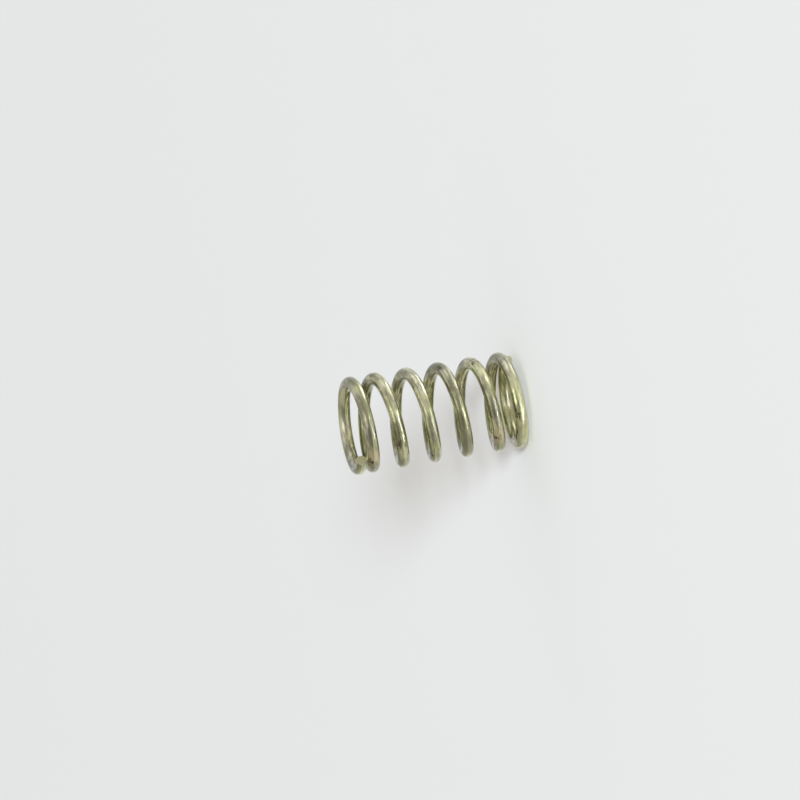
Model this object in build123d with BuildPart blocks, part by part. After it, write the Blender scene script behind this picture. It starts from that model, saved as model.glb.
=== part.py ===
"""Compression spring: one length of round wire, coiled right-handed, closed and left unground at both ends."""

import os
from math import cos, pi, radians, sin

from build123d import *

os.makedirs("parts", exist_ok=True)

# Driving sizes, in millimetres, turns and degrees
WIRE_DIA = 1.2  # drawn round wire, over its plating
COIL_OUTER_DIA = 9.7  # over the wire, the same from end to end
FREE_LENGTH = 17.9  # unloaded, over the wire at both ends
TOTAL_TURNS = 6.54  # from one cut tip to the other
OPENING_TURNS = 1.72  # each end opens from closed to full pitch over this many turns
TIP_CLEARANCE = 0.05  # between a cut tip and the turn that it closes against
LOWER_TIP_ANGLE = 21.0  # place of the lower tip round the axis, counter-clockwise from +X
TIP_ROUNDING = 0.07  # shearing the wire rolls the rim of each cut face over
STATIONS_PER_TURN = 20  # points of each turn that the wire's centre line is drawn through

# Sizes that follow from them
wire_radius = WIRE_DIA / 2
mean_radius = COIL_OUTER_DIA / 2 - wire_radius
closed_pitch = WIRE_DIA + TIP_CLEARANCE
half_turns = TOTAL_TURNS / 2
half_rise = (FREE_LENGTH - WIRE_DIA) / 2


def opened_turns(turns):
    """Area under a smooth ramp from 0 to 1 over OPENING_TURNS, flat from there on."""
    share = min(turns / OPENING_TURNS, 1)
    return OPENING_TURNS * (share**3 - share**4 / 2) + max(turns - OPENING_TURNS, 0)


# The pitch grows along that ramp, from tip_pitch at a cut tip to tip_pitch + pitch_gain in the
# active coils. Two conditions set both: the first turn rises by closed_pitch, which lays the tip
# beside the second turn, and half of the wire rises by half_rise.
pitch_gain = (half_rise - closed_pitch * half_turns) / (
    opened_turns(half_turns) - opened_turns(1) * half_turns
)
tip_pitch = closed_pitch - pitch_gain * opened_turns(1)


def rise_from_tip(turns):
    """Height gained along the axis from either cut tip, up to the middle of the wire."""
    return tip_pitch * turns + pitch_gain * opened_turns(turns)


def wire_centre(turns):
    """Point on the wire's centre line, this many turns up from the lower tip, which stands on Z = 0."""
    if turns < half_turns:
        rise = rise_from_tip(turns)
    else:
        rise = 2 * half_rise - rise_from_tip(TOTAL_TURNS - turns)
    angle = 2 * pi * turns + radians(LOWER_TIP_ANGLE)
    return (mean_radius * cos(angle), mean_radius * sin(angle), wire_radius + rise)


def tip_direction(turns):
    """Direction of the wire at a cut tip: round the axis, climbing by tip_pitch in a turn."""
    angle = 2 * pi * turns + radians(LOWER_TIP_ANGLE)
    climb = tip_pitch / (2 * pi * mean_radius)
    return (-sin(angle), cos(angle), climb)


with BuildPart() as coil_spring:
    with BuildLine() as centre_line:
        spans = round(TOTAL_TURNS * STATIONS_PER_TURN)
        Spline(
            [wire_centre(TOTAL_TURNS * i / spans) for i in range(spans + 1)],
            tangents=[tip_direction(0), tip_direction(TOTAL_TURNS)],
            tangent_scalars=[1, 1],
        )
    with BuildSketch(Plane(origin=centre_line.line @ 0, z_dir=centre_line.line % 0)):
        Circle(wire_radius)
    sweep(is_frenet=True)
    # The two flat faces are the sheared ends, square to the wire
    cut_faces = coil_spring.faces().filter_by(GeomType.PLANE)
    fillet(cut_faces.edges(), TIP_ROUNDING)

coil_spring.part.label = "coil_spring"
export_step(coil_spring.part, "parts/coil_spring.step")
print(f"pitch {tip_pitch + pitch_gain:.3f} mm in the active coils, {tip_pitch:.3f} mm at the tips")
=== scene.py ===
"""A yellow-plated compression spring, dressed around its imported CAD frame.

Everything is in metres and in the frame of the CAD part: the spring stands on the floor at Z = 0 with
its axis along +Z. The camera is rolled on its side, so that the spring lies across the picture as it
does in the photograph.
"""

from math import atan2, cos, hypot, pi, radians, sin

import bmesh
import bpy
from bpy.props import FloatProperty, FloatVectorProperty, PointerProperty
from mathutils import Matrix, Vector, noise


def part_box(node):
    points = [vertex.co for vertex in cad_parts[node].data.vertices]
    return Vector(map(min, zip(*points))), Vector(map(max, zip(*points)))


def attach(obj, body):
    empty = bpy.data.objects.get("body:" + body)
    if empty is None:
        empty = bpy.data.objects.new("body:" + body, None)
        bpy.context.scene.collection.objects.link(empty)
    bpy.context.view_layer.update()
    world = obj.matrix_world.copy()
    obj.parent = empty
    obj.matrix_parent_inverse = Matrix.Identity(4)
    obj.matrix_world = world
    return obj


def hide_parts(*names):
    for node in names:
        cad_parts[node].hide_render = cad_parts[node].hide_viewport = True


bl_info = {
    "name": "Plated Compression Spring",
    "version": (1, 0, 0),
    "blender": (4, 5, 0),
    "location": "3D Viewport > Sidebar > Spring",
    "description": "Winds a plated compression spring with sheared ends and sets it on a pale floor",
    "category": "Add Mesh",
}

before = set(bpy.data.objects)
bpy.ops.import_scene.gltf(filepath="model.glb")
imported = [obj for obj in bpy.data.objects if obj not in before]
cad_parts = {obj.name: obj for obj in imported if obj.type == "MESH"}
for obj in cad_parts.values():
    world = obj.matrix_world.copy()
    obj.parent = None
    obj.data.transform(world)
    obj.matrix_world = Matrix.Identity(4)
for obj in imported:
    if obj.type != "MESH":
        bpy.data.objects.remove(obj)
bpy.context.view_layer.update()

MM = 0.001
NODE = "coil_spring"
PIECE = "plated_wire"
# Attribute with each point's place in the wire before coiling, in metres: outwards, downwards and
# along the wire
PATH = "straight_wire"
spring_low, spring_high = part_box(NODE)


def linear(hex_colour):
    """Linear red, green and blue of an sRGB hex value."""
    parts = [int(hex_colour[i : i + 2], 16) / 255 for i in (1, 3, 5)]
    return [p / 12.92 if p <= 0.04045 else ((p + 0.055) / 1.055) ** 2.4 for p in parts]


def add_node(tree, kind, inputs=None, **settings):
    """Add a node with its settings, fill or link its inputs, and return its outputs."""
    node = tree.nodes.new(kind)
    for name, value in settings.items():
        setattr(node, name, value)
    for key, value in (inputs or {}).items():
        if isinstance(value, bpy.types.NodeSocket):
            tree.links.new(value, node.inputs[key])
        else:
            node.inputs[key].default_value = value
    return node.outputs


def empty_tree(owner):
    """Node tree of a material or world, with nothing in it yet."""
    owner.use_nodes = True
    owner.node_tree.nodes.clear()
    return owner.node_tree


class SpringSizes(bpy.types.PropertyGroup):
    """Sizes of the wire and the coil."""

    wire_diameter: FloatProperty(
        name="Wire Diameter",
        description="Drawn round wire, over its plating",
        default=1.2 * MM,
        unit="LENGTH",
    )
    coil_diameter: FloatProperty(
        name="Coil Diameter",
        description="Over the outside of the coil",
        default=spring_high.x - spring_low.x,
        unit="LENGTH",
    )
    free_length: FloatProperty(
        name="Free Length",
        description="Unloaded, over the wire at both ends",
        default=17.9 * MM,
        unit="LENGTH",
    )
    turns: FloatProperty(
        name="Turns",
        description="Turns from one cut tip to the other",
        default=6.54,
    )
    opening_turns: FloatProperty(
        name="Opening Turns",
        description="Turns over which each end opens from closed to full pitch",
        default=1.72,
    )
    tip_clearance: FloatProperty(
        name="Tip Clearance",
        description="Between a cut tip and the turn that it closes against",
        default=0.05 * MM,
        unit="LENGTH",
    )
    lower_tip_angle: FloatProperty(
        name="Lower Tip Angle",
        description="Place of the lower tip round the axis, counter-clockwise from +X",
        default=radians(21),
        unit="ROTATION",
    )
    rim_radius: FloatProperty(
        name="Rim Radius",
        description="Rounding of the rim of a cut face by the shear",
        default=0.07 * MM,
        unit="LENGTH",
    )


class PlatingFinish(bpy.types.PropertyGroup):
    """Colours of the plated wire and of its cut faces."""

    film: FloatVectorProperty(
        name="Clean Film",
        description="Pale yellow chromate film",
        default=linear("#E4E2B2"),
        subtype="COLOR",
    )
    thick_film: FloatVectorProperty(
        name="Thick Film",
        description="Olive chromate film",
        default=linear("#8A8862"),
        subtype="COLOR",
    )
    rubbed: FloatVectorProperty(
        name="Rubbed Zinc",
        description="Grey zinc, rubbed in the barrel",
        default=linear("#C4C4BA"),
        subtype="COLOR",
    )
    stain: FloatVectorProperty(
        name="Stain",
        description="Pale brown of dried chromate",
        default=linear("#D2C49E"),
        subtype="COLOR",
    )
    pit: FloatVectorProperty(
        name="Pit",
        description="Scale, and the dull bottom of a pit",
        default=linear("#5E553A"),
        subtype="COLOR",
    )
    sheared: FloatVectorProperty(
        name="Sheared Face",
        description="Thin plating on torn steel",
        default=linear("#E0DEB4"),
        subtype="COLOR",
    )


class StageLook(bpy.types.PropertyGroup):
    """Floor and camera."""

    floor_colour: FloatVectorProperty(
        name="Floor",
        description="Matt pale floor",
        default=linear("#E3DECE"),
        subtype="COLOR",
    )
    floor_size: FloatProperty(
        name="Floor Size",
        description="Side of the floor",
        default=3.0,
        unit="LENGTH",
    )
    frame_width: FloatProperty(
        name="Frame Width",
        description="Width of the picture at the spring",
        default=78.63 * MM,
        unit="LENGTH",
    )
    lens: FloatProperty(
        name="Lens",
        description="Focal length",
        default=600.0,
        unit="CAMERA",
    )
    look_down: FloatProperty(
        name="Look Down",
        description="Slope of the camera's line of sight",
        default=radians(11.1),
        unit="ROTATION",
    )
    roll: FloatProperty(
        name="Roll",
        description="Turn of the camera on its line of sight",
        default=radians(99.31),
        unit="ROTATION",
    )


def opened_turns_group():
    """Node group: area under a smooth ramp from 0 to 1 over the opening turns, flat from there on."""
    group = bpy.data.node_groups.new("opened_turns", "GeometryNodeTree")
    group.interface.new_socket("Turns", in_out="INPUT", socket_type="NodeSocketFloat")
    group.interface.new_socket("Opening Turns", in_out="INPUT", socket_type="NodeSocketFloat")
    group.interface.new_socket("Opened Turns", in_out="OUTPUT", socket_type="NodeSocketFloat")
    given = add_node(group, "NodeGroupInput")
    turns, opening = given["Turns"], given["Opening Turns"]
    ratio = add_node(group, "ShaderNodeMath", {0: turns, 1: opening}, operation="DIVIDE")[0]
    share = add_node(group, "ShaderNodeMath", {0: ratio, 1: 1.0}, operation="MINIMUM")[0]
    # The ramp 3t^2 - 2t^3 has the area t^3 - t^4 / 2 under it
    cube = add_node(group, "ShaderNodeMath", {0: share, 1: 3.0}, operation="POWER")[0]
    fourth = add_node(group, "ShaderNodeMath", {0: share, 1: 4.0}, operation="POWER")[0]
    ramp = add_node(
        group, "ShaderNodeMath", {0: fourth, 1: -0.5, 2: cube}, operation="MULTIPLY_ADD"
    )[0]
    beyond = add_node(group, "ShaderNodeMath", {0: turns, 1: opening}, operation="SUBTRACT")[0]
    flat = add_node(group, "ShaderNodeMath", {0: beyond, 1: 0.0}, operation="MAXIMUM")[0]
    area = add_node(
        group, "ShaderNodeMath", {0: ramp, 1: opening, 2: flat}, operation="MULTIPLY_ADD"
    )[0]
    add_node(group, "NodeGroupOutput", {"Opened Turns": area})
    return group


def coiled_wire_tree():
    """Node tree that coils a round wire, closed at both ends, from its named sizes."""
    tree = bpy.data.node_groups.new("coiled_wire", "GeometryNodeTree")
    for name, kind in (
        ("Wire Diameter", "Float"),
        ("Coil Diameter", "Float"),
        ("Free Length", "Float"),
        ("Turns", "Float"),
        ("Opening Turns", "Float"),
        ("Tip Clearance", "Float"),
        ("Lower Tip Angle", "Float"),
        ("Stations", "Int"),
        ("Section Points", "Int"),
        ("Finish", "Material"),
    ):
        tree.interface.new_socket(name, in_out="INPUT", socket_type="NodeSocket" + kind)
    tree.interface.new_socket("Geometry", in_out="OUTPUT", socket_type="NodeSocketGeometry")
    given = add_node(tree, "NodeGroupInput")
    wire, turns, opening = given["Wire Diameter"], given["Turns"], given["Opening Turns"]
    coil_diameter, free_length = given["Coil Diameter"], given["Free Length"]
    opened = opened_turns_group()

    # Radii, and the half of the wire that the other half mirrors
    wire_radius = add_node(tree, "ShaderNodeMath", {0: wire, 1: 0.5}, operation="MULTIPLY")[0]
    between = add_node(tree, "ShaderNodeMath", {0: coil_diameter, 1: wire}, operation="SUBTRACT")[0]
    mean_radius = add_node(tree, "ShaderNodeMath", {0: between, 1: 0.5}, operation="MULTIPLY")[0]
    gained = add_node(tree, "ShaderNodeMath", {0: free_length, 1: wire}, operation="SUBTRACT")[0]
    half_rise = add_node(tree, "ShaderNodeMath", {0: gained, 1: 0.5}, operation="MULTIPLY")[0]
    half_turns = add_node(tree, "ShaderNodeMath", {0: turns, 1: 0.5}, operation="MULTIPLY")[0]
    closed_pitch = add_node(
        tree, "ShaderNodeMath", {0: wire, 1: given["Tip Clearance"]}, operation="ADD"
    )[0]

    # The first turn rises by the closed pitch, half of the wire by half_rise: that sets both pitches
    opened_first = add_node(
        tree, "GeometryNodeGroup", {"Turns": 1.0, "Opening Turns": opening}, node_tree=opened
    )[0]
    opened_half = add_node(
        tree, "GeometryNodeGroup", {"Turns": half_turns, "Opening Turns": opening}, node_tree=opened
    )[0]
    closed_rise = add_node(
        tree, "ShaderNodeMath", {0: closed_pitch, 1: half_turns}, operation="MULTIPLY"
    )[0]
    extra_rise = add_node(
        tree, "ShaderNodeMath", {0: half_rise, 1: closed_rise}, operation="SUBTRACT"
    )[0]
    closed_area = add_node(
        tree, "ShaderNodeMath", {0: opened_first, 1: half_turns}, operation="MULTIPLY"
    )[0]
    extra_area = add_node(
        tree, "ShaderNodeMath", {0: opened_half, 1: closed_area}, operation="SUBTRACT"
    )[0]
    pitch_gain = add_node(
        tree, "ShaderNodeMath", {0: extra_rise, 1: extra_area}, operation="DIVIDE"
    )[0]
    first_gain = add_node(
        tree, "ShaderNodeMath", {0: pitch_gain, 1: opened_first}, operation="MULTIPLY"
    )[0]
    tip_pitch = add_node(
        tree, "ShaderNodeMath", {0: closed_pitch, 1: first_gain}, operation="SUBTRACT"
    )[0]

    # Height of each station, from its turns away from the nearer tip
    share = add_node(tree, "GeometryNodeSplineParameter")["Factor"]
    up = add_node(tree, "ShaderNodeMath", {0: share, 1: turns}, operation="MULTIPLY")[0]
    down = add_node(tree, "ShaderNodeMath", {0: turns, 1: up}, operation="SUBTRACT")[0]
    from_tip = add_node(tree, "ShaderNodeMath", {0: up, 1: down}, operation="MINIMUM")[0]
    opened_here = add_node(
        tree, "GeometryNodeGroup", {"Turns": from_tip, "Opening Turns": opening}, node_tree=opened
    )[0]
    tip_rise = add_node(tree, "ShaderNodeMath", {0: tip_pitch, 1: from_tip}, operation="MULTIPLY")[0]
    rise = add_node(
        tree, "ShaderNodeMath", {0: pitch_gain, 1: opened_here, 2: tip_rise}, operation="MULTIPLY_ADD"
    )[0]
    to_middle = add_node(tree, "ShaderNodeMath", {0: half_rise, 1: rise}, operation="SUBTRACT")[0]
    past_middle = add_node(tree, "ShaderNodeMath", {0: up, 1: half_turns}, operation="SUBTRACT")[0]
    side = add_node(tree, "ShaderNodeMath", {0: past_middle}, operation="SIGN")[0]
    middle = add_node(tree, "ShaderNodeMath", {0: free_length, 1: 0.5}, operation="MULTIPLY")[0]
    height = add_node(
        tree, "ShaderNodeMath", {0: side, 1: to_middle, 2: middle}, operation="MULTIPLY_ADD"
    )[0]

    # The centre line, and along it the length of wire so far
    angle = add_node(
        tree,
        "ShaderNodeMath",
        {0: up, 1: 2 * pi, 2: given["Lower Tip Angle"]},
        operation="MULTIPLY_ADD",
    )[0]
    arm = add_node(tree, "ShaderNodeCombineXYZ", {"X": mean_radius, "Z": height})[0]
    place = add_node(
        tree, "ShaderNodeVectorRotate", {"Vector": arm, "Angle": angle}, rotation_type="Z_AXIS"
    )[0]
    line = add_node(tree, "GeometryNodeCurvePrimitiveLine")[0]
    stations = add_node(
        tree, "GeometryNodeResampleCurve", {"Curve": line, "Count": given["Stations"]}
    )[0]
    coil = add_node(tree, "GeometryNodeSetPosition", {"Geometry": stations, "Position": place})[0]
    coil = add_node(tree, "GeometryNodeSetCurveNormal", {"Curve": coil}, mode="Z_UP")[0]
    along = add_node(tree, "GeometryNodeSplineParameter")["Length"]
    coil = add_node(
        tree, "GeometryNodeStoreNamedAttribute", {"Geometry": coil, "Name": "along", "Value": along}
    )[0]

    # The round section, and on it the place across the wire
    section = add_node(
        tree,
        "GeometryNodeCurvePrimitiveCircle",
        {"Resolution": given["Section Points"], "Radius": wire_radius},
    )[0]
    across = add_node(tree, "GeometryNodeInputPosition")[0]
    section = add_node(
        tree,
        "GeometryNodeStoreNamedAttribute",
        {"Geometry": section, "Name": "across", "Value": across},
        data_type="FLOAT_VECTOR",
    )[0]
    tube = add_node(tree, "GeometryNodeCurveToMesh", {"Curve": coil, "Profile Curve": section})[0]
    across = add_node(
        tree, "GeometryNodeInputNamedAttribute", {"Name": "across"}, data_type="FLOAT_VECTOR"
    )[0]
    across = add_node(tree, "ShaderNodeSeparateXYZ", {0: across})
    along = add_node(tree, "GeometryNodeInputNamedAttribute", {"Name": "along"})[0]
    path = add_node(
        tree, "ShaderNodeCombineXYZ", {"X": across["X"], "Y": across["Y"], "Z": along}
    )[0]
    tube = add_node(
        tree,
        "GeometryNodeStoreNamedAttribute",
        {"Geometry": tube, "Name": PATH, "Value": path},
        data_type="FLOAT_VECTOR",
    )[0]
    for name in ("across", "along"):
        tube = add_node(tree, "GeometryNodeRemoveAttribute", {"Geometry": tube, "Name": name})[0]
    tube = add_node(tree, "GeometryNodeSetShadeSmooth", {"Geometry": tube})[0]
    tube = add_node(tree, "GeometryNodeRealizeInstances", {"Geometry": tube})[0]
    tube = add_node(
        tree, "GeometryNodeSetMaterial", {"Geometry": tube, "Material": given["Finish"]}
    )[0]
    add_node(tree, "NodeGroupOutput", {"Geometry": tube})
    return tree


# Fine enough that the wire shows no facets in a close view
STATIONS_PER_TURN = 96
SECTION_POINTS = 48


def coiled_wire(sizes, finish):
    """Plain mesh of the coiled wire, open at both tips."""
    holder = bpy.data.objects.new("coiled_wire", bpy.data.meshes.new("coiled_wire"))
    bpy.context.collection.objects.link(holder)
    modifier = holder.modifiers.new("Coiled Wire", "NODES")
    modifier.node_group = coiled_wire_tree()
    values = {
        "Wire Diameter": sizes.wire_diameter,
        "Coil Diameter": sizes.coil_diameter,
        "Free Length": sizes.free_length,
        "Turns": sizes.turns,
        "Opening Turns": sizes.opening_turns,
        "Tip Clearance": sizes.tip_clearance,
        "Lower Tip Angle": sizes.lower_tip_angle,
        "Stations": round(sizes.turns * STATIONS_PER_TURN) + 1,
        "Section Points": SECTION_POINTS,
        "Finish": finish,
    }
    for item in modifier.node_group.interface.items_tree:
        if item.in_out == "INPUT":
            modifier[item.identifier] = values[item.name]
    evaluated = holder.evaluated_get(bpy.context.evaluated_depsgraph_get())
    mesh = bpy.data.meshes.new_from_object(evaluated)
    holder.modifiers.clear()
    bpy.data.objects.remove(holder)
    return mesh


ROLL_OVER = 0.09 * MM  # the shear draws the outside of the wire down by this as it goes in
ROLLED_FROM = 0.5  # from this share of the wire's radius outwards
TEAR = 0.05 * MM  # the steel that tears off, on the inside, slopes back by this
TORN_FROM, TORN_FULLY = 0.15, -0.25  # from one to the other of these shares, counted outwards
TEAR_EASES = 0.4  # share of the slope that is gone at the middle of the face
TEAR_GRAIN = 0.012 * MM
TEAR_GRAIN_SIZE = 0.11 * MM
RIM_STEPS = 4
FACE_RINGS = 9
PLATED, SHEARED = 0, 1  # the piece's materials


def cut_depth(across, wire_radius):
    """How far a point of a cut face lies behind its plane: rolled over, burnished, then torn."""
    place = across.x / wire_radius
    rolled = min(max((place - ROLLED_FROM) / (1 - ROLLED_FROM), 0), 1) ** 2
    torn = min(max((TORN_FROM - place) / (TORN_FROM - TORN_FULLY), 0), 1)
    slope = 1 - TEAR_EASES * (1 + place)
    grain = noise.noise(across / TEAR_GRAIN_SIZE)
    return ROLL_OVER * rolled + torn * (TEAR * slope + TEAR_GRAIN * (1 + grain))


def face_rings(wire_radius, rim_radius):
    """Rings of a cut face, from its rounded rim inwards: radius, and depth behind the face's plane."""
    flat_radius = wire_radius - rim_radius
    rings = []
    for step in range(RIM_STEPS + 1):
        turn = pi / 2 * step / RIM_STEPS
        rings.append((flat_radius + rim_radius * cos(turn), rim_radius * (1 - sin(turn))))
    for step in range(1, FACE_RINGS):
        rings.append((flat_radius * (1 - step / FACE_RINGS), 0))
    return rings


def close_ring(bm, outer, inner, material):
    """Faces between two rings of as many points."""
    for i in range(len(outer)):
        face = bm.faces.new((outer[i - 1], outer[i], inner[i], inner[i - 1]))
        face.smooth = True
        face.material_index = material


def shear_tips(mesh, sizes):
    """Close both open ends of the wire with sheared faces."""
    bm = bmesh.new()
    bm.from_mesh(mesh)
    path = bm.verts.layers.float_vector[PATH]
    wire_radius = sizes.wire_diameter / 2
    open_verts = [v for v in bm.verts if v.is_boundary]
    middle = sum(v[path].z for v in open_verts) / len(open_verts)
    for upper in (False, True):
        ring = [v for v in open_verts if (v[path].z > middle) == upper]
        ring.sort(key=lambda v: atan2(v[path].y, v[path].x))
        along = ring[0][path].z
        inner = [next(e.other_vert(v) for e in v.link_edges if not e.is_boundary) for v in ring]
        centre = sum((v.co for v in ring), Vector()) / len(ring)
        inner_centre = sum((v.co for v in inner), Vector()) / len(inner)
        outwards = (centre - inner_centre).normalized()
        spokes = [(v.co - centre).normalized() for v in ring]
        bearings = [(v[path].x / wire_radius, v[path].y / wire_radius) for v in ring]

        last = None
        for number, (reach, depth) in enumerate(face_rings(wire_radius, sizes.rim_radius)):
            made = []
            for i, spoke in enumerate(spokes):
                across = Vector((bearings[i][0] * reach, bearings[i][1] * reach, 0))
                back = depth + cut_depth(across, wire_radius)
                place = centre + spoke * reach - outwards * back
                vert = ring[i] if number == 0 else bm.verts.new(place)
                vert.co = place
                vert[path] = Vector((across.x, across.y, along))
                made.append(vert)
            if last:
                close_ring(bm, last, made, SHEARED if number > RIM_STEPS else PLATED)
            last = made
        tip = bm.verts.new(centre - outwards * cut_depth(Vector(), wire_radius))
        tip[path] = Vector((0, 0, along))
        for i, vert in enumerate(last):
            face = bm.faces.new((last[i - 1], vert, tip))
            face.smooth = True
            face.material_index = SHEARED
    bmesh.ops.recalc_face_normals(bm, faces=bm.faces)
    bm.to_mesh(mesh)
    bm.free()


# Marks that the photograph shows on the wire. Each has its turns from the lower tip,
# its side of the wire in degrees, from outwards over the upper side to inwards, and its radius in
# millimetres
DRIED_DROPS = ((1.57, 25, 1.5), (5.57, 20, 1.4))
THICKER_FILM = (
    (1.51, -15, 1.4),
    (1.69, 40, 2.0),
    (2.36, 130, 1.7),
    (2.56, 65, 1.6),
    (2.78, -10, 1.0),
    (2.92, 20, 2.0),
    (2.98, 105, 1.7),
    (3.27, 140, 1.9),
    (4.02, -170, 1.6),
    (4.52, -25, 1.6),
    (4.66, -10, 2.0),
    (5.01, 175, 2.4),
    (5.3, 165, 2.4),
    (5.53, -35, 1.5),
    (5.89, 70, 1.6),
    (6.3, -130, 1.8),
)
THINNER_FILM = (
    (0.21, 100, 2.2),
    (0.68, 75, 3.0),
    (4.69, 50, 2.2),
    (4.82, -25, 2.0),
    (6.24, 135, 3.4),
)
PITTED = (
    (0.64, 30, 1.1),
    (1.56, 50, 1.0),
    (1.87, 25, 1.3),
    (2.88, 40, 0.9),
    (3.53, 50, 0.9),
    (4.61, 30, 1.3),
    (4.92, -5, 1.2),
    (5.55, 35, 1.0),
)

# How fine the patterns on the wire are, in noise cells per millimetre across it. Each is drawn out
# along the wire, to the share of as many cells that the value named ALONG gives
DIE_BANDS = 4.2  # broad marks of the drawing die, 0.24 mm wide
DIE_LINES = 11.0  # its fine marks, 0.09 mm wide: real ones are finer, but wouldn't show
DIE_ALONG = 0.028
PATCHES = 1.5  # patches of thicker film, 0.7 mm wide
GRIT = 5.5  # pits and scale, 0.2 mm wide
CROWDS = 0.6  # places 1.7 mm wide, where the pits crowd
PATCHES_ALONG = 0.45
DRIFTS = 0.5  # stretches of thicker film, 2 mm across the wire and 8 mm along it
DRIFTS_ALONG = 0.26
TINTS = 1.04  # changes of its tint, 1 mm across the wire and 2.6 mm along it
TINTS_ALONG = 0.375
TORN_GRAIN = 12.0  # grain of the torn steel, 0.08 mm

# How far each takes the film from clean to thick
PATCH_TONE = 0.62
BAND_TONE = 0.36
DRIFT_TONE = 0.42
THICKER_TONE = 0.7
THINNER_TONE = -0.6

# Factors on the film's colour, as its tint wanders
YELLOW_GREEN = (0.985, 1.015, 0.86, 1)
GREYISH_PINK = (1.01, 0.985, 1.12, 1)

ZINC_OUTSIDE = 0.35  # how much grey zinc shows where the outside is rubbed most
ZINC_INSIDE = 0.1  # and through the thin film on the inside
CROWDING = 0.3  # how much sooner a pit comes up where they crowd
RAGGED = 1.5  # how far the patches break the edge of a dried drop
PIT_ROUGHNESS = 0.4
DRIED_ROUGHNESS = 0.15
BAND_RELIEF = 4.2  # height of the broad marks, where that of the fine ones is 1
PIT_RELIEF = -0.5
RELIEF = 0.007 * MM
TORN_RELIEF = 0.035 * MM


def place_in_wire(tree):
    """Place of a point in the wire before coiling, in millimetres, and the outward part of it."""
    path = add_node(tree, "ShaderNodeAttribute", attribute_name=PATH)["Vector"]
    in_mm = add_node(
        tree, "ShaderNodeVectorMath", {0: path, 1: (1 / MM,) * 3}, operation="MULTIPLY"
    )[0]
    outwards = add_node(tree, "ShaderNodeSeparateXYZ", {0: in_mm})["X"]
    return in_mm, outwards


def nearness(tree, in_mm, marks, sizes):
    """How near a point of the wire is to the nearest mark: 1 at its middle, 0 from its radius on."""
    turn_run = pi * (sizes.coil_diameter - sizes.wire_diameter)
    turn_rise = (sizes.free_length - sizes.wire_diameter) / sizes.turns
    turn_length = hypot(turn_run, turn_rise) / MM
    wire_radius = sizes.wire_diameter / 2 / MM
    nearest = 0.0
    for turns, side, radius in marks:
        side = radians(side)
        place = (wire_radius * cos(side), -wire_radius * sin(side), turns * turn_length)
        away = add_node(
            tree, "ShaderNodeVectorMath", {0: in_mm, 1: place}, operation="DISTANCE"
        )["Value"]
        near = add_node(
            tree, "ShaderNodeMapRange", {"Value": away, "From Min": radius, "From Max": 0.0}
        )[0]
        nearest = add_node(tree, "ShaderNodeMath", {0: near, 1: nearest}, operation="MAXIMUM")[0]
    return nearest


def film_tone(tree, in_mm, outwards, patches, bands, sizes):
    """How thick the chromate film is at a point of the wire: 0 where clean, 1 where thick."""
    thick_patch = add_node(
        tree,
        "ShaderNodeMapRange",
        {"Value": patches, "From Min": 0.4, "From Max": 0.62},
        interpolation_type="SMOOTHSTEP",
    )[0]
    dark_band = add_node(
        tree,
        "ShaderNodeMapRange",
        {"Value": bands, "From Min": 0.48, "From Max": 0.62},
        interpolation_type="SMOOTHSTEP",
    )[0]
    # Over part of a turn the film is thicker or thinner as a whole
    long_way = add_node(
        tree, "ShaderNodeVectorMath", {0: in_mm, 1: (1, 1, DRIFTS_ALONG)}, operation="MULTIPLY"
    )[0]
    drift = add_node(
        tree, "ShaderNodeTexNoise", {"Vector": long_way, "Scale": DRIFTS, "Detail": 1.0}
    )["Fac"]
    drift = add_node(
        tree, "ShaderNodeMapRange", {"Value": drift, "From Min": 0.35, "From Max": 0.65}
    )[0]
    tone = 0.0
    for amount, share in ((thick_patch, PATCH_TONE), (dark_band, BAND_TONE), (drift, DRIFT_TONE)):
        tone = add_node(
            tree, "ShaderNodeMath", {0: amount, 1: share, 2: tone}, operation="MULTIPLY_ADD"
        )[0]
    # The bath reaches the inside of the coil less, so the film is a little thinner there
    reached = add_node(
        tree,
        "ShaderNodeMapRange",
        {"Value": outwards, "From Min": -0.5, "From Max": 0.2, "To Min": 0.85, "To Max": 1.0},
    )[0]
    tone = add_node(tree, "ShaderNodeMath", {0: tone, 1: reached}, operation="MULTIPLY")[0]
    for marks, share in ((THICKER_FILM, THICKER_TONE), (THINNER_FILM, THINNER_TONE)):
        near = nearness(tree, in_mm, marks, sizes)
        tone = add_node(
            tree, "ShaderNodeMath", {0: near, 1: share, 2: tone}, operation="MULTIPLY_ADD"
        )[0]
    return tone


def film_tint(tree, in_mm):
    """Tint of the film, which wanders from yellow-green to a greyish pink over a few millimetres."""
    tint_way = add_node(
        tree, "ShaderNodeVectorMath", {0: in_mm, 1: (1, 1, TINTS_ALONG)}, operation="MULTIPLY"
    )[0]
    tint = add_node(
        tree,
        "ShaderNodeTexNoise",
        {"Vector": tint_way, "Scale": TINTS, "Detail": 3.0, "Roughness": 0.6},
    )["Fac"]
    tint = add_node(
        tree,
        "ShaderNodeMapRange",
        {"Value": tint, "From Min": 0.38, "From Max": 0.64},
        interpolation_type="SMOOTHSTEP",
    )[0]
    return add_node(
        tree,
        "ShaderNodeMix",
        {"Factor": tint, "A": YELLOW_GREEN, "B": GREYISH_PINK},
        data_type="RGBA",
    )["Result"]


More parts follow.
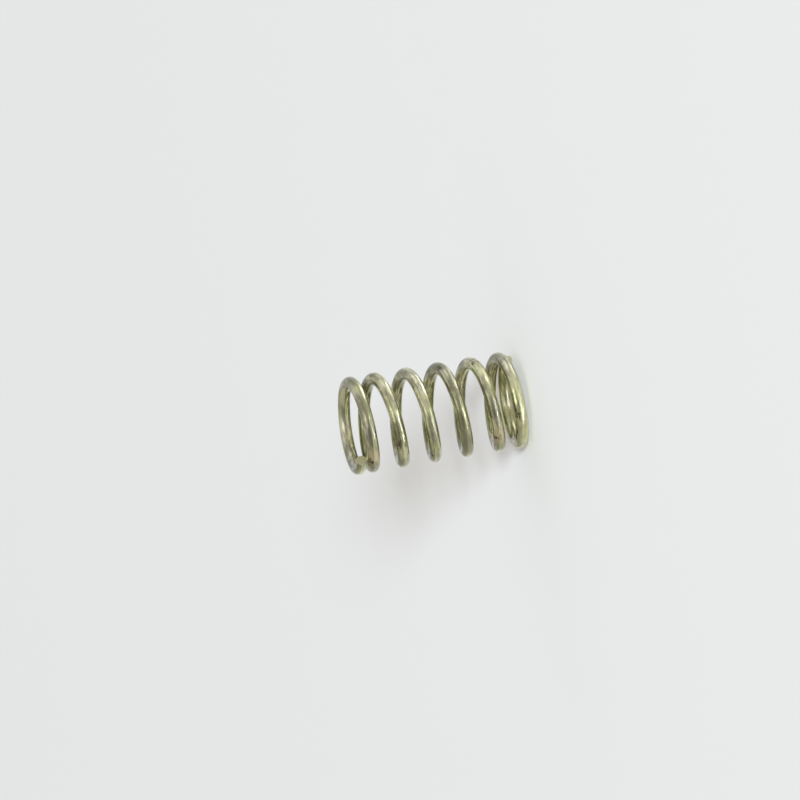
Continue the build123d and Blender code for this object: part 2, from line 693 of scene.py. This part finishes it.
def zinc_shown(tree, outwards, patches):
    """How much grey zinc shows: rubbed on the outside, and a little through the thin film inside."""
    outside = add_node(
        tree,
        "ShaderNodeMapRange",
        {"Value": outwards, "From Min": 0.3, "From Max": 0.62},
        interpolation_type="SMOOTHSTEP",
    )[0]
    worn = add_node(tree, "ShaderNodeMath", {0: outside, 1: patches}, operation="MULTIPLY")[0]
    inside = add_node(
        tree,
        "ShaderNodeMapRange",
        {"Value": outwards, "From Min": 0.0, "From Max": -0.45, "To Max": ZINC_INSIDE},
    )[0]
    return add_node(
        tree, "ShaderNodeMath", {0: worn, 1: ZINC_OUTSIDE, 2: inside}, operation="MULTIPLY_ADD"
    )[0]


def pits_shown(tree, in_mm, patchy, sizes):
    """How much of a pit or of scale shows, more of them where they crowd."""
    grit = add_node(
        tree,
        "ShaderNodeTexNoise",
        {"Vector": patchy, "Scale": GRIT, "Detail": 3.0, "Roughness": 0.7},
    )["Fac"]
    crowd = add_node(
        tree, "ShaderNodeTexNoise", {"Vector": patchy, "Scale": CROWDS, "Detail": 1.0}
    )["Fac"]
    crowded = grit
    for amount in (crowd, nearness(tree, in_mm, PITTED, sizes)):
        crowded = add_node(
            tree, "ShaderNodeMath", {0: amount, 1: CROWDING, 2: crowded}, operation="MULTIPLY_ADD"
        )[0]
    return add_node(
        tree,
        "ShaderNodeMapRange",
        {"Value": crowded, "From Min": 0.8, "From Max": 0.98},
        interpolation_type="SMOOTHSTEP",
    )[0]


def drops_shown(tree, in_mm, patches, sizes):
    """How much of a dried drop of chromate shows, with a ragged edge."""
    near = nearness(tree, in_mm, DRIED_DROPS, sizes)
    ragged = add_node(
        tree, "ShaderNodeMath", {0: patches, 1: RAGGED, 2: near}, operation="MULTIPLY_ADD"
    )[0]
    return add_node(
        tree,
        "ShaderNodeMapRange",
        {"Value": ragged, "From Min": 0.8, "From Max": 1.6, "To Max": 0.9},
        interpolation_type="SMOOTHSTEP",
    )[0]


def plated_wire_material(finish, sizes):
    """Yellow-chromated zinc on drawn spring steel wire, barrel plated.

    A bright metal under a thin coloured film: gloss in lines along the wire, which the drawing die
    left, broken up by patches where the film is thicker, greyer where springs rubbed on each other,
    and dotted with dull pits and pale brown stains where the chromate dried.
    """
    material = bpy.data.materials.new("yellow_chromated_zinc_on_drawn_wire")
    tree = empty_tree(material)
    in_mm, outwards = place_in_wire(tree)

    drawn = add_node(
        tree, "ShaderNodeVectorMath", {0: in_mm, 1: (1, 1, DIE_ALONG)}, operation="MULTIPLY"
    )[0]
    bands = add_node(
        tree,
        "ShaderNodeTexNoise",
        {"Vector": drawn, "Scale": DIE_BANDS, "Detail": 1.0, "Roughness": 0.5},
    )["Fac"]
    lines = add_node(
        tree,
        "ShaderNodeTexNoise",
        {"Vector": drawn, "Scale": DIE_LINES, "Detail": 2.0, "Roughness": 0.6},
    )["Fac"]
    patchy = add_node(
        tree, "ShaderNodeVectorMath", {0: in_mm, 1: (1, 1, PATCHES_ALONG)}, operation="MULTIPLY"
    )[0]
    patches = add_node(
        tree,
        "ShaderNodeTexNoise",
        {"Vector": patchy, "Scale": PATCHES, "Detail": 5.0, "Roughness": 0.62},
    )["Fac"]

    tone = film_tone(tree, in_mm, outwards, patches, bands, sizes)
    colour = add_node(
        tree,
        "ShaderNodeMix",
        {"Factor": tone, "A": (*finish.film, 1), "B": (*finish.thick_film, 1)},
        data_type="RGBA",
    )["Result"]
    colour = add_node(
        tree,
        "ShaderNodeMix",
        {"Factor": 1.0, "A": colour, "B": film_tint(tree, in_mm)},
        data_type="RGBA",
        blend_type="MULTIPLY",
    )["Result"]
    zinc = zinc_shown(tree, outwards, patches)
    pits = pits_shown(tree, in_mm, patchy, sizes)
    drops = drops_shown(tree, in_mm, patches, sizes)
    for shown, layer in ((zinc, finish.rubbed), (drops, finish.stain), (pits, finish.pit)):
        colour = add_node(
            tree,
            "ShaderNodeMix",
            {"Factor": shown, "A": colour, "B": (*layer, 1)},
            data_type="RGBA",
        )["Result"]

    # Bright where the film is thin, duller where it is thick, dried or pitted
    rough = add_node(
        tree, "ShaderNodeMapRange", {"Value": patches, "From Min": 0.3, "To Min": 0.15, "To Max": 0.25}
    )[0]
    for shown, extra in ((pits, PIT_ROUGHNESS), (drops, DRIED_ROUGHNESS)):
        rough = add_node(
            tree, "ShaderNodeMath", {0: shown, 1: extra, 2: rough}, operation="MULTIPLY_ADD"
        )[0]

    relief = lines
    for shown, height in ((bands, BAND_RELIEF), (pits, PIT_RELIEF)):
        relief = add_node(
            tree, "ShaderNodeMath", {0: shown, 1: height, 2: relief}, operation="MULTIPLY_ADD"
        )[0]
    bump = add_node(
        tree, "ShaderNodeBump", {"Strength": 1.0, "Distance": RELIEF, "Height": relief}
    )["Normal"]
    shader = add_node(
        tree,
        "ShaderNodeBsdfPrincipled",
        {"Base Color": colour, "Metallic": 1.0, "Roughness": rough, "Normal": bump},
    )[0]
    add_node(tree, "ShaderNodeOutputMaterial", {"Surface": shader})
    return material


def sheared_face_material(finish):
    """Thin zinc on the sheared end of the wire: a smooth burnished band outside, torn grain inside."""
    material = bpy.data.materials.new("thin_zinc_on_sheared_steel")
    tree = empty_tree(material)
    in_mm, outwards = place_in_wire(tree)
    rough = add_node(
        tree,
        "ShaderNodeMapRange",
        {"Value": outwards, "From Min": 0.12, "From Max": -0.06, "To Min": 0.3, "To Max": 0.5},
    )[0]
    grain = add_node(
        tree, "ShaderNodeTexNoise", {"Vector": in_mm, "Scale": TORN_GRAIN, "Detail": 3.0}
    )["Fac"]
    colour = add_node(
        tree,
        "ShaderNodeMix",
        {"Factor": grain, "A": (*finish.sheared, 1), "B": (*finish.thick_film, 1)},
        data_type="RGBA",
    )["Result"]
    bump = add_node(
        tree, "ShaderNodeBump", {"Strength": 1.0, "Distance": TORN_RELIEF, "Height": grain}
    )["Normal"]
    shader = add_node(
        tree,
        "ShaderNodeBsdfPrincipled",
        {"Base Color": colour, "Metallic": 1.0, "Roughness": rough, "Normal": bump},
    )[0]
    add_node(tree, "ShaderNodeOutputMaterial", {"Surface": shader})
    return material


class SPRING_OT_wind(bpy.types.Operator):
    """Wind the plated wire and shear its ends"""

    bl_idname = "spring.wind"
    bl_label = "Wind Spring"

    def execute(self, context):
        sizes = context.scene.spring_sizes
        finish = context.scene.plating_finish
        mesh = coiled_wire(sizes, plated_wire_material(finish, sizes))
        if not mesh.vertices:
            raise RuntimeError("the wire came out empty")
        mesh.materials.append(sheared_face_material(finish))
        shear_tips(mesh, sizes)
        mesh.name = PIECE
        spring = bpy.data.objects.new(PIECE, mesh)
        context.collection.objects.link(spring)
        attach(spring, "root")
        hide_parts(NODE)
        return {"FINISHED"}


AXIS_POINT = Vector((0, 0, 8.695 * MM))  # this point of the axis
AXIS_POINT_PX = (435.97, 412.32)  # lies at this pixel of the photograph
PHOTO_PX = 800

# Azimuth and elevation in degrees, as direction takes them
TO_SUN = (5.4, 12.0)
TO_COOL_SIDE = (125, 0)
TO_DARK_PATCH = (-32, 10)

# Tints of the room, as factors on its level
WARM_SIDE = (1.02, 1.0, 0.94, 1)
COOL_SIDE = (0.99, 1.0, 1.26, 1)
OVERHEAD = (0.99, 1.0, 1.14, 1)


def direction(azimuth, elevation):
    """Unit vector from the spring: azimuth 0 is towards -Y, 90 towards +X."""
    azimuth, elevation = radians(azimuth), radians(elevation)
    level = cos(elevation)
    return Vector((sin(azimuth) * level, -cos(azimuth) * level, sin(elevation)))


def add_camera(look):
    """Camera at the photograph's viewing angle, with the spring at the photograph's place and size."""
    back = Vector((0, -cos(look.look_down), sin(look.look_down)))
    upright = Matrix((Vector((1, 0, 0)), back.cross(Vector((1, 0, 0))), back)).transposed()
    turned = upright @ Matrix.Rotation(-look.roll, 3, "Z")
    right, up = turned.col[0], turned.col[1]
    px = look.frame_width / PHOTO_PX
    target = AXIS_POINT - right * (AXIS_POINT_PX[0] - PHOTO_PX / 2) * px
    target += up * (AXIS_POINT_PX[1] - PHOTO_PX / 2) * px
    data = bpy.data.cameras.new("camera")
    data.lens = look.lens
    data.clip_start = 0.01
    data.clip_end = 10
    camera = bpy.data.objects.new("camera", data)
    distance = look.frame_width * look.lens / data.sensor_width
    camera.matrix_world = Matrix.Translation(target + back * distance) @ turned.to_4x4()
    bpy.context.collection.objects.link(camera)
    bpy.context.scene.camera = camera


def add_window(name, start, end, width, distance, radiance, colour, blockers=None):
    """Rectangular lamp at a distance from the spring, its long side between two directions.

    Only what is in the collection of blockers shades it, or everything if none is given. Cycles keeps
    to that where multiple importance sampling is off.
    """
    start, end = direction(*start) * distance, direction(*end) * distance
    place = (start + end) / 2
    back = place.normalized()
    across = (end - start).normalized()
    data = bpy.data.lights.new(name, "AREA")
    data.shape = "RECTANGLE"
    data.size = (end - start).length
    data.size_y = width
    # The power at which an area lamp of this size has that radiance
    data.energy = pi * radiance * data.size * data.size_y
    data.color = colour
    data.cycles.use_multiple_importance_sampling = blockers is None
    lamp = bpy.data.objects.new(name, data)
    turned = Matrix((across, back.cross(across), back)).transposed()
    lamp.matrix_world = Matrix.Translation(AXIS_POINT + place) @ turned.to_4x4()
    bpy.context.collection.objects.link(lamp)
    lamp.light_linking.blocker_collection = blockers


def add_windows(spring):
    """Two windows above the floor, and two below it that only the spring shades.

    The low ones stand in for the light that came from the right of the photograph's lying spring.
    Here that is from below, where the floor would be in the way.
    """
    add_window(
        "front_window",
        start=(4, 33),
        end=(4, 68),
        width=0.36,
        distance=0.8,
        radiance=1.0,
        colour=(0.98, 1.0, 1.12),
    )
    add_window(
        "side_window",
        start=(94, 2),
        end=(94, 36),
        width=0.4,
        distance=0.8,
        radiance=0.45,
        colour=(1.0, 1.0, 0.98),
    )
    spring_alone = bpy.data.collections.new("spring_alone")
    spring_alone.objects.link(spring)
    add_window(
        "low_front_window",
        start=(-58, -32),
        end=(24, -36),
        width=0.12,
        distance=0.3,
        radiance=2.2,
        colour=(0.97, 1.0, 1.32),
        blockers=spring_alone,
    )
    add_window(
        "low_side_window",
        start=(62, -38),
        end=(130, -35),
        width=0.12,
        distance=0.3,
        radiance=2.5,
        colour=(0.98, 1.0, 1.16),
        blockers=spring_alone,
    )


def add_sun():
    """Distant low lamp near the camera, which lays the spring's shadow on the floor.

    It is cool, so that the warm board comes out a neutral grey and the shadow on it stays warmer. The
    metal doesn't mirror it.
    """
    data = bpy.data.lights.new("low_sun", "SUN")
    data.energy = 7.4
    data.angle = radians(8.5)
    data.color = (0.85, 1.0, 1.3)
    sun = bpy.data.objects.new("low_sun", data)
    sun.matrix_world = direction(*TO_SUN).to_track_quat("Z", "Y").to_matrix().to_4x4()
    sun.visible_glossy = False
    bpy.context.collection.objects.link(sun)


def add_world():
    """Grey room, lighter on the +X side and overhead, and cooler overhead and behind on that side.

    A dark patch beside the camera darkens the strands that mirror it.
    """
    world = bpy.data.worlds.new("studio")
    tree = empty_tree(world)
    towards = add_node(tree, "ShaderNodeTexCoord")["Generated"]
    parts = add_node(tree, "ShaderNodeSeparateXYZ", {0: towards})
    overhead = add_node(
        tree, "ShaderNodeMapRange", {"Value": parts["Z"], "From Min": 0.6, "From Max": 0.95}
    )[0]
    behind = add_node(
        tree,
        "ShaderNodeVectorMath",
        {0: towards, 1: direction(*TO_COOL_SIDE)},
        operation="DOT_PRODUCT",
    )["Value"]
    tint = WARM_SIDE
    for share, cooler in ((behind, COOL_SIDE), (overhead, OVERHEAD)):
        tint = add_node(
            tree, "ShaderNodeMix", {"Factor": share, "A": tint, "B": cooler}, data_type="RGBA"
        )["Result"]

    level = add_node(
        tree,
        "ShaderNodeMapRange",
        {"Value": parts["X"], "From Min": -0.2, "To Min": 0.48, "To Max": 0.72},
    )[0]
    beside = add_node(
        tree,
        "ShaderNodeVectorMath",
        {0: towards, 1: direction(*TO_DARK_PATCH)},
        operation="DOT_PRODUCT",
    )["Value"]
    patch = add_node(
        tree,
        "ShaderNodeMapRange",
        {"Value": beside, "From Min": 0.82, "From Max": 0.96, "To Min": 1.0, "To Max": 0.6},
        interpolation_type="SMOOTHSTEP",
    )[0]
    brighter = add_node(
        tree, "ShaderNodeMapRange", {"Value": overhead, "To Min": 1.0, "To Max": 1.2}
    )[0]
    for factor in (patch, brighter):
        level = add_node(tree, "ShaderNodeMath", {0: level, 1: factor}, operation="MULTIPLY")[0]
    light = add_node(tree, "ShaderNodeBackground", {"Color": tint, "Strength": level})[0]
    add_node(tree, "ShaderNodeOutputWorld", {"Surface": light})
    bpy.context.scene.world = world


def floor_material(look):
    """White-coated board, a little warm. It is matt, so it shows a soft shadow and no mirror image."""
    material = bpy.data.materials.new("matt_white_board")
    tree = empty_tree(material)
    shader = add_node(
        tree, "ShaderNodeBsdfPrincipled", {"Base Color": (*look.floor_colour, 1), "Roughness": 0.8}
    )[0]
    add_node(tree, "ShaderNodeOutputMaterial", {"Surface": shader})
    return material


class SPRING_OT_stage(bpy.types.Operator):
    """Set the floor, the soft light and the camera"""

    bl_idname = "spring.stage"
    bl_label = "Set Stage"

    def execute(self, context):
        look = context.scene.stage_look
        half = look.floor_size / 2
        corners = [(-half, -half, 0), (half, -half, 0), (half, half, 0), (-half, half, 0)]
        mesh = bpy.data.meshes.new("floor")
        mesh.from_pydata(corners, [], [(0, 1, 2, 3)])
        mesh.materials.append(floor_material(look))
        floor = bpy.data.objects.new("floor", mesh)
        context.collection.objects.link(floor)
        add_world()
        add_sun()
        add_windows(bpy.data.objects[PIECE])
        add_camera(look)
        context.scene.view_settings.view_transform = "Standard"
        return {"FINISHED"}


class SPRING_PT_panel(bpy.types.Panel):
    """Sizes, finish and stage of the spring"""

    bl_idname = "SPRING_PT_panel"
    bl_label = "Compression Spring"
    bl_space_type = "VIEW_3D"
    bl_region_type = "UI"
    bl_category = "Spring"

    def draw(self, context):
        for name, group in GROUPS.items():
            for size_or_colour in group.__annotations__:
                self.layout.prop(getattr(context.scene, name), size_or_colour)
        for operator in OPERATORS:
            self.layout.operator(operator.bl_idname)


GROUPS = {"spring_sizes": SpringSizes, "plating_finish": PlatingFinish, "stage_look": StageLook}
OPERATORS = (SPRING_OT_wind, SPRING_OT_stage)


def register():
    for cls in (*GROUPS.values(), *OPERATORS, SPRING_PT_panel):
        bpy.utils.register_class(cls)
    for name, group in GROUPS.items():
        setattr(bpy.types.Scene, name, PointerProperty(type=group))


def unregister():
    for name in GROUPS:
        delattr(bpy.types.Scene, name)
    for cls in (SPRING_PT_panel, *reversed(OPERATORS), *GROUPS.values()):
        bpy.utils.unregister_class(cls)


def main():
    register()
    bpy.ops.spring.wind()
    bpy.ops.spring.stage()


if __name__ == "__main__":
    main()
